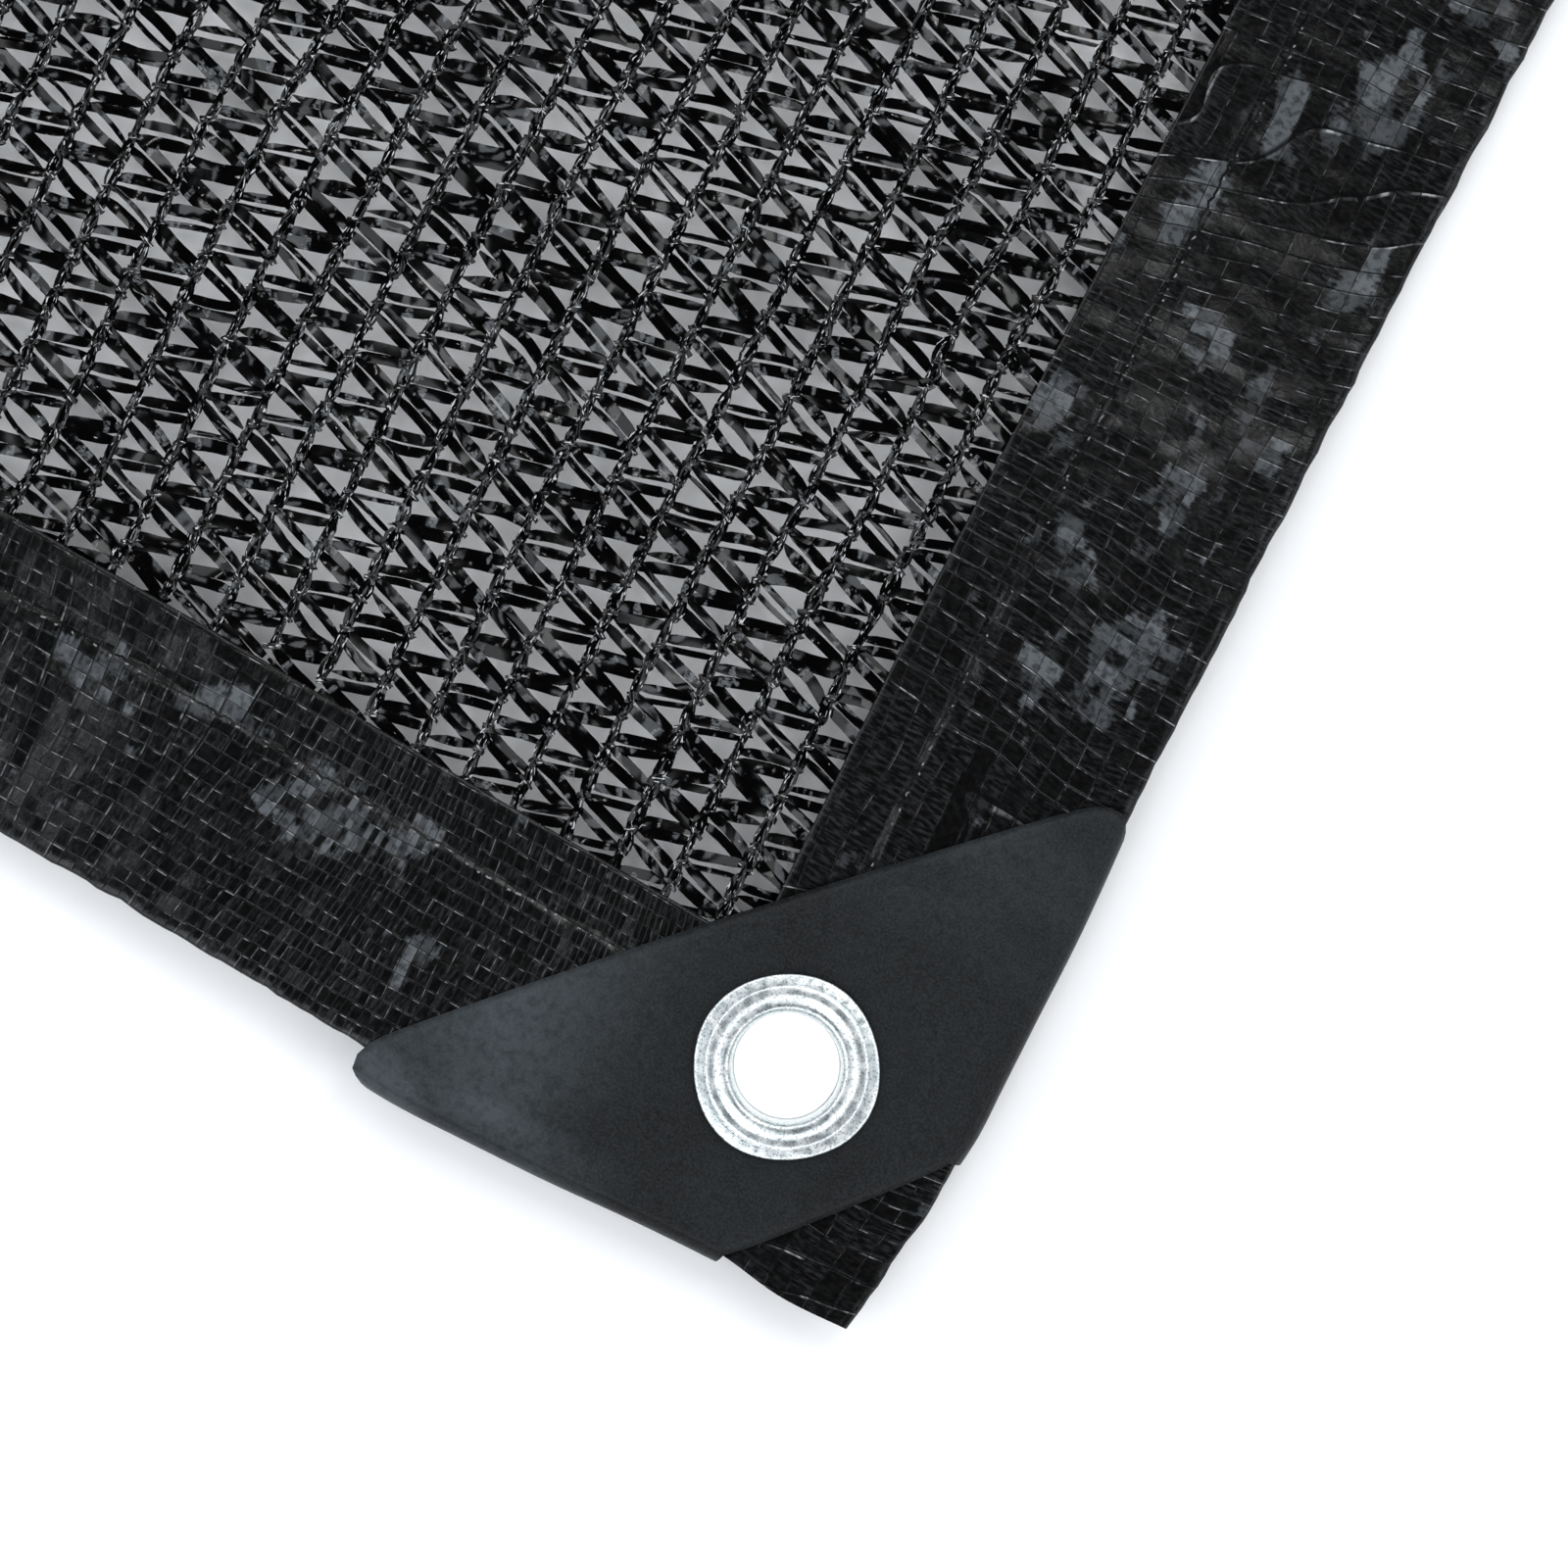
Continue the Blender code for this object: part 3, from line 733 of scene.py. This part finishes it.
def dents(a, b):
    """Height of the dents, which lean as flat facets, and how far each point lies in one."""
    total, pressed = np.zeros(a.shape), np.zeros(a.shape)
    for x, y, turn, half_length, half_width, face, lean in (*DENTS, *scattered_dents()):
        angle, facing = math.radians(turn), math.radians(face)
        da, db = a / MM - x, b / MM - y
        along = (da * math.cos(angle) + db * math.sin(angle)) / half_length
        across = (-da * math.sin(angle) + db * math.cos(angle)) / half_width
        away = da * math.cos(facing) + db * math.sin(facing)
        fade = 1 - smooth((np.hypot(along, across) - 0.55) / 0.6)
        total -= 0.5 * math.tan(math.radians(lean)) * away * fade
        pressed = np.maximum(pressed, fade)
    return total * MM, pressed


def wrinkles(a, b):
    """Creases pressed into the tape: soft ridges that run across it and aslant."""
    aslant = (a + 0.55 * b, b - 0.35 * a)
    ridge = 1 - np.abs(soft_noise(aslant[0] * 0.45, aslant[1], 9 * MM, 21))
    ridge = ridge**3
    swell = soft_noise(a, b, 14 * MM, 22)
    return (0.16 * ridge + 0.3 * swell) * MM


def hem_section():
    """Once round the folded tape: distance in from the edge, height, and share of upper leaf."""
    lower = [(29.8, -0.9)] + [(d, -1.7) for d in (27, 24, 21, 18, 15, 12, 9, 6.5, 4.2, 2.6, 1.2)]
    fold = [(0.35, -1.55), (0.06, -1.0), (0.0, -0.1), (0.01, 1.0), (0.1, 1.38), (0.4, 1.5)]
    upper = []
    for d in (*np.arange(1.3, 21.5, 1.2), 21.9, 22.4, 22.9, 23.4, *np.arange(24.2, 29.5, 1.2)):
        slope = 1.5 - 0.42 * float(smooth((d - 6) / 16))
        bonded = 0.3 * float(smooth((d - 22.2) / 0.9))
        upper.append((d, slope - bonded))
    upper += [(29.6, 0.76), (29.95, 0.68), (30.0, 0.4)]
    section = np.array(lower + fold + upper) * MM
    is_upper = np.array([0.0] * (len(lower) + 3) + [0.3, 0.6, 0.8] + [1.0] * len(upper))
    return section, is_upper


def bond_place():
    """Where the bond lies across a hem's tape, in millimetres of the tape's width."""
    section, is_upper = hem_section()
    girth = np.concatenate([[0], np.cumsum(np.linalg.norm(np.diff(section, axis=0), axis=1))])
    upper = is_upper > 0.9
    return float(np.interp(BOND_LINE, section[upper, 0], girth[upper])) / MM


def make_hem(name, across_x, sign, reach, material):
    """A woven tape folded over one edge. reach is where its ends are along the edge."""
    section, is_upper = hem_section()
    count = int(round(2 * reach / (1.4 * MM)))
    along = np.linspace(-reach, reach, count + 1)
    inwards, rise = section[:, 0], section[:, 1]
    run, deep = np.meshgrid(along, inwards, indexing="ij")
    if across_x:
        a, b = sign * (HALF_WIDTH - deep), run
    else:
        a, b = run, sign * (HALF_LENGTH - deep)
    dent, pressed = dents(a, b)
    crease = (wrinkles(a, b) + dent) * is_upper[None]
    ragged = soft_noise(run, deep * 0, 1.7 * MM, 24)
    near_bond = bell((deep - BOND_LINE) / (1.1 * MM)) * is_upper[None]
    crease = crease - (0.1 + 0.16 * ragged) * MM * near_bond
    nicks = 0.16 * soft_noise(run, deep * 0, 2.6 * MM, 25) + 0.1 * soft_noise(run, deep, 1.5 * MM, 26)
    pushed = sign * nicks * MM * (1 - smooth(deep / (2 * MM)))
    if across_x:
        a = a + pushed
    else:
        b = b + pushed
    points = laid(a, b, rise[None] + crease)
    girth = np.concatenate([[0], np.cumsum(np.hypot(np.diff(inwards), np.diff(rise)))])
    u = np.broadcast_to(girth[None] / MM, run.shape)
    uvs = np.stack([u, run / MM + 600], axis=-1)
    faces = grid_faces(len(along), len(section))
    faces = without_holes(points.reshape(-1, 3), faces, 8.2 * MM)
    if sign * (1 if across_x else -1) > 0:
        faces = faces[:, ::-1]
    hem = make_object(name + "_tape", points, faces, uvs, material)
    # How far each point lies in a dent, kept for the sheen painted on the tape.
    layer = hem.data.attributes.new("pressed", "FLOAT", "POINT")
    layer.data.foreach_set("value", pressed.astype(np.float32).ravel())
    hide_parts(name)
    return hem


def eyelet_centre(signs):
    """The plan position of a corner's eyelet."""
    x = signs[0] * (HALF_WIDTH - EYELET_FROM_SIDE)
    y = signs[1] * (HALF_LENGTH - EYELET_FROM_END)
    return x, y


def without_holes(points, faces, radius):
    """The faces that don't lie inside an eyelet's reach."""
    middles = points[faces].mean(axis=1)
    keep = np.ones(len(faces), bool)
    for signs in CORNERS.values():
        x, y = eyelet_centre(signs)
        keep &= np.hypot(middles[:, 0] - x, middles[:, 1] - y) > radius
    return faces[keep]


# The patch's folds, by distance from the corner. Columns: along the edge, offset outwards, in mm.
PATCH_SIDE_MM = ((20.4, 2.0), (25, 2.3), (30, 2.1), (39, 1.75), (48, 1.45), (57, 0.8), (64.9, 0.0))
PATCH_END_MM = ((15.0, 0.5), (20, 0.7), (27, 1.1), (36, 1.8), (45, 2.2), (54, 2.5), (62.5, 2.1))
PATCH_ROUNDING = 8.0 * MM
PATCH_ROUNDED_OFF = 0.115


def make_patch(corner, signs, material):
    """A vinyl strip laid across a corner and folded round its two edges."""
    rows = np.linspace(0, 1, 34)
    top = np.linspace(0, 1, 46)
    under = np.linspace(1, 0, 16)
    bends = np.radians([62, 34, 8, -20, -48])
    around = [(s, 90.0, 0) for s in top]
    around += [(1.0, math.degrees(t), 1) for t in bends]
    around += [(s, -90.0, 0) for s in under]
    around += [(0.0, math.degrees(-t) * -1, -1) for t in bends[::-1]]
    around.append(around[0])
    s, angle, kind = (np.array(v) for v in zip(*around))
    r, _ = np.meshgrid(rows, s, indexing="ij")
    s = np.broadcast_to(s[None], r.shape)
    fold_in = 1.1 * MM
    nose = fold_in * np.where(kind == 0, 0.0, np.cos(np.radians(angle)))[None]
    from_fold = np.minimum(s, 1 - s) * (30 + 60 * r) * MM + fold_in - nose
    near = np.clip(1 - from_fold / PATCH_ROUNDING, 0, 1)
    pulled = 1 - np.sqrt(1 - near**2)
    r = r - PATCH_ROUNDED_OFF * pulled * smooth((r - 0.7) / 0.3)
    r = r + 0.02 * pulled * smooth((0.2 - r) / 0.2)

    side_along = (20.4 + (64.9 - 20.4) * r) * MM
    end_along = (15.0 + (62.5 - 15.0) * r) * MM
    side = np.stack([-read_table(PATCH_SIDE_MM, side_along) + fold_in, side_along], axis=-1)
    end = np.stack([end_along, -read_table(PATCH_END_MM, end_along) + fold_in], axis=-1)
    flat = end * (1 - s)[..., None] + side * s[..., None]
    diagonal = np.array([1.0, 1.0]) / math.sqrt(2)
    bulge = 4 * s * (1 - s) * (0.9 * smooth((r - 0.5) / 0.5)) * MM
    flat = flat + bulge[..., None] * diagonal

    turn = np.radians(angle)[None]
    out = np.where(kind[None] == 1, 1.0, 0.0), np.where(kind[None] == -1, 1.0, 0.0)
    reach = fold_in * np.cos(turn)
    flat = flat - np.stack([out[0] * reach, out[1] * reach], axis=-1)

    from_eyelet = np.hypot(flat[..., 0] - EYELET_FROM_SIDE, flat[..., 1] - EYELET_FROM_END)
    clamp = 1 - smooth((from_eyelet - 11 * MM) / (15 * MM))
    edge = smooth((r - 0.93) / 0.07) + smooth((0.06 - r) / 0.06)
    thick = (2.35 + 0.65 * clamp - 0.3 * edge) * MM
    wave = 0.2 * MM * soft_noise(flat[..., 0], flat[..., 1], 13 * MM, 31 + signs[0] + 2 * signs[1])
    rim = 0.16 * MM * bell((r - 0.965) / 0.03)
    level = CORNER_REST + (thick + rim) * np.sin(turn) + wave * (1 - clamp)
    # Each open end turns in by the vinyl's own thickness.
    x = signs[0] * (HALF_WIDTH - flat[..., 0])
    y = signs[1] * (HALF_LENGTH - flat[..., 1])
    points = np.stack([x, y, level], axis=-1)
    uvs = np.stack([flat[..., 0] / MM, flat[..., 1] / MM], axis=-1)
    faces = grid_faces(len(rows), len(around))
    faces = without_holes(points.reshape(-1, 3), faces, 8.6 * MM)
    if signs[0] * signs[1] > 0:
        faces = faces[:, ::-1]
    name = "corner_patch_" + corner
    patch = make_object(name + "_vinyl", points, faces, uvs, material)
    solid = patch.modifiers.new("thickness", "SOLIDIFY")
    solid.thickness = 0.55 * MM
    solid.offset = -1
    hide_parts(name)
    return patch


def make_eyelet(corner, signs, material):
    """A turned flange with its ridges, the barrel, and the clinched end."""
    profile = np.array([
        (10.0, 8.24), (10.05, 8.36), (9.98, 8.48), (9.8, 8.56), (9.4, 8.66), (9.0, 8.74),
        (8.85, 8.76), (8.78, 8.68), (8.7, 8.77), (8.4, 8.82), (8.1, 8.84), (7.9, 8.83),
        (7.75, 8.86), (7.55, 8.94), (7.3, 9.07), (7.05, 9.17), (6.8, 9.22), (6.55, 9.21),
        (6.35, 9.13), (6.18, 8.96), (6.04, 8.7), (5.92, 8.2), (5.84, 7.6), (5.8, 4.0),
        (5.8, 1.2), (5.9, 0.6), (6.3, 0.12), (6.8, 0.0), (7.3, 0.05), (7.7, 0.3),
        (7.6, 0.5), (6.3, 0.5), (6.25, 8.2), (9.8, 8.2), (10.0, 8.24),
    ])
    steps = 132
    angle = np.linspace(0, 2 * np.pi, steps + 1)
    radius, level = profile[:, 0], profile[:, 1]
    phi, r = np.meshgrid(angle, radius, indexing="ij")
    z = np.broadcast_to(level[None], r.shape).copy()
    squarish = 0.016 * np.cos(4 * phi + 0.6) + 0.008 * np.cos(3 * phi)
    outer = smooth((r - 8.0) / 1.8)
    r = r * (1 + squarish * outer * (0.85 if signs[0] > 0 else 1.1))
    crimp = np.cos(46 * phi) * smooth(np.cos(phi - 1.9) + 0.25) + 0.6 * np.cos(39 * phi) * smooth(
        np.cos(phi + 0.9) - 0.2
    )
    on_top = (z > 8.4) & (r > 8.9)
    z = z + np.where(on_top, 0.09 * crimp * smooth((r - 8.9) / 0.8), 0.0)
    x, y = eyelet_centre(signs)
    points = np.stack([x + r * MM * np.cos(phi), y + r * MM * np.sin(phi), z * MM], axis=-1)
    girth = np.concatenate([[0], np.cumsum(np.hypot(np.diff(radius), np.diff(level)))])
    uvs = np.stack([phi * 8, np.broadcast_to(girth[None], phi.shape)], axis=-1)
    faces = grid_faces(len(angle), len(profile))
    name = "eyelet_" + corner
    eyelet = make_object(name + "_zinc", points, faces, uvs, material)
    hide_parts(name)
    return eyelet


def make_floor():
    """A plain pale floor."""
    shader = Shader("floor")
    shader.set(Base_Color=(0.95, 0.95, 0.95, 1), Roughness=0.9)
    shader.surface.inputs["Specular IOR Level"].default_value = 0.0
    bpy.ops.mesh.primitive_plane_add(size=12)
    floor = bpy.context.object
    floor.name = "floor"
    floor.data.materials.append(shader.material)


def make_world():
    """A pale dome, dimmer straight overhead, where the camera hangs."""
    world = bpy.data.worlds.new("studio")
    bpy.context.scene.world = world
    world.use_nodes = True
    tree = world.node_tree
    place = tree.nodes.new("ShaderNodeTexCoord")
    split = tree.nodes.new("ShaderNodeSeparateXYZ")
    ramp = tree.nodes.new("ShaderNodeValToRGB")
    tree.links.new(place.outputs["Generated"], split.inputs[0])
    tree.links.new(split.outputs[2], ramp.inputs[0])
    stops = ramp.color_ramp.elements
    stops[0].position, stops[0].color = 0.0, (0.3, 0.31, 0.32, 1)
    stops[1].position, stops[1].color = 1.0, (0.03, 0.03, 0.031, 1)
    for position, tone in ((0.3, 0.5), (0.42, 2.0), (0.7, 2.0), (0.78, 0.4), (0.86, 0.1), (0.93, 0.05)):
        stop = stops.new(position)
        stop.color = (tone * 0.98, tone, tone * 1.03, 1)
    tree.links.new(ramp.outputs[0], tree.nodes["Background"].inputs[0])
    tree.nodes["Background"].inputs[1].default_value = 1.15


def add_light(name, azimuth, elevation, size, radiance, colour):
    """A soft box that faces the corner in the photograph."""
    data = bpy.data.lights.new(name, "AREA")
    data.shape = "RECTANGLE"
    data.size, data.size_y = size
    data.energy = radiance * math.pi * size[0] * size[1]
    data.color = colour
    light = bpy.data.objects.new(name, data)
    light.visible_camera = False
    bpy.context.scene.collection.objects.link(light)
    az, el = math.radians(azimuth), math.radians(elevation)
    away = Vector((math.cos(el) * math.cos(az), math.cos(el) * math.sin(az), math.sin(el)))
    light.location = VIEW_CENTRE + away * LIGHT_DISTANCE
    light.rotation_euler = away.to_track_quat("Z", "Y").to_euler()


def add_snoot():
    """A narrow lamp that shines down the eyelet on to the floor, where the boxes don't reach."""
    data = bpy.data.lights.new("snoot", "SPOT")
    data.spot_size = math.radians(1.0)
    data.spot_blend = 0.04
    data.shadow_soft_size = 0.0
    data.energy = 14
    light = bpy.data.objects.new("snoot", data)
    light.visible_camera = False
    bpy.context.scene.collection.objects.link(light)
    x, y = eyelet_centre(CORNERS["lower_right"])
    light.location = (x, y, 5.7 * MM / math.tan(math.radians(0.5)))


def make_lights():
    """Soft boxes round the camera, so that tilted film catches them and flat film doesn't."""
    add_light("upper_strip", 80, 57, (0.34, 0.6), 5.0, (0.97, 0.985, 1.0))
    add_light("lower_strip", 258, 57, (0.34, 0.6), 4.5, (0.88, 0.94, 1.0))
    add_light("left_box", 196, 70, (0.26, 0.26), 4.0, (0.88, 0.94, 1.0))
    add_light("right_box", 16, 70, (0.24, 0.24), 4.0, (0.92, 0.96, 1.0))
    add_light("spark", 118, 68, (0.07, 0.07), 30.0, (1.0, 1.0, 1.0))
    add_snoot()


def make_camera():
    """Straight above the corner, as the photograph was taken."""
    data = bpy.data.cameras.new("camera")
    data.sensor_width = 36
    data.lens = 36 * CAMERA_HEIGHT / VIEW_WIDTH
    data.clip_start = 0.01
    camera = bpy.data.objects.new("camera", data)
    bpy.context.scene.collection.objects.link(camera)
    camera.location = VIEW_CENTRE + Vector((0, 0, CAMERA_HEIGHT))
    camera.rotation_euler = (0, 0, math.radians(VIEW_TURN_DEG))
    bpy.context.scene.camera = camera


bpy.context.scene.view_settings.view_transform = "Standard"
make_camera()
make_floor()
make_world()
make_lights()

film = film_material()
side_weave = weave_material("woven_film_side", 2.6, 2.2, 0.2, 0.9, bond_place())
end_weave = weave_material("woven_film_end", 1.75, 1.25, 0.7, 0.4, bond_place())
vinyl = vinyl_material()
zinc = zinc_material()

make_net(film)
make_hem("binding_right", True, 1, HALF_LENGTH, side_weave)
make_hem("binding_left", True, -1, HALF_LENGTH, side_weave)
make_hem("binding_lower", False, -1, HALF_WIDTH - HEM_WIDTH, end_weave)
make_hem("binding_upper", False, 1, HALF_WIDTH - HEM_WIDTH, end_weave)
for corner, signs in CORNERS.items():
    make_patch(corner, signs, vinyl)
    make_eyelet(corner, signs, zinc)
    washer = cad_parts["washer_" + corner]
    washer.data.materials.clear()
    washer.data.materials.append(zinc)
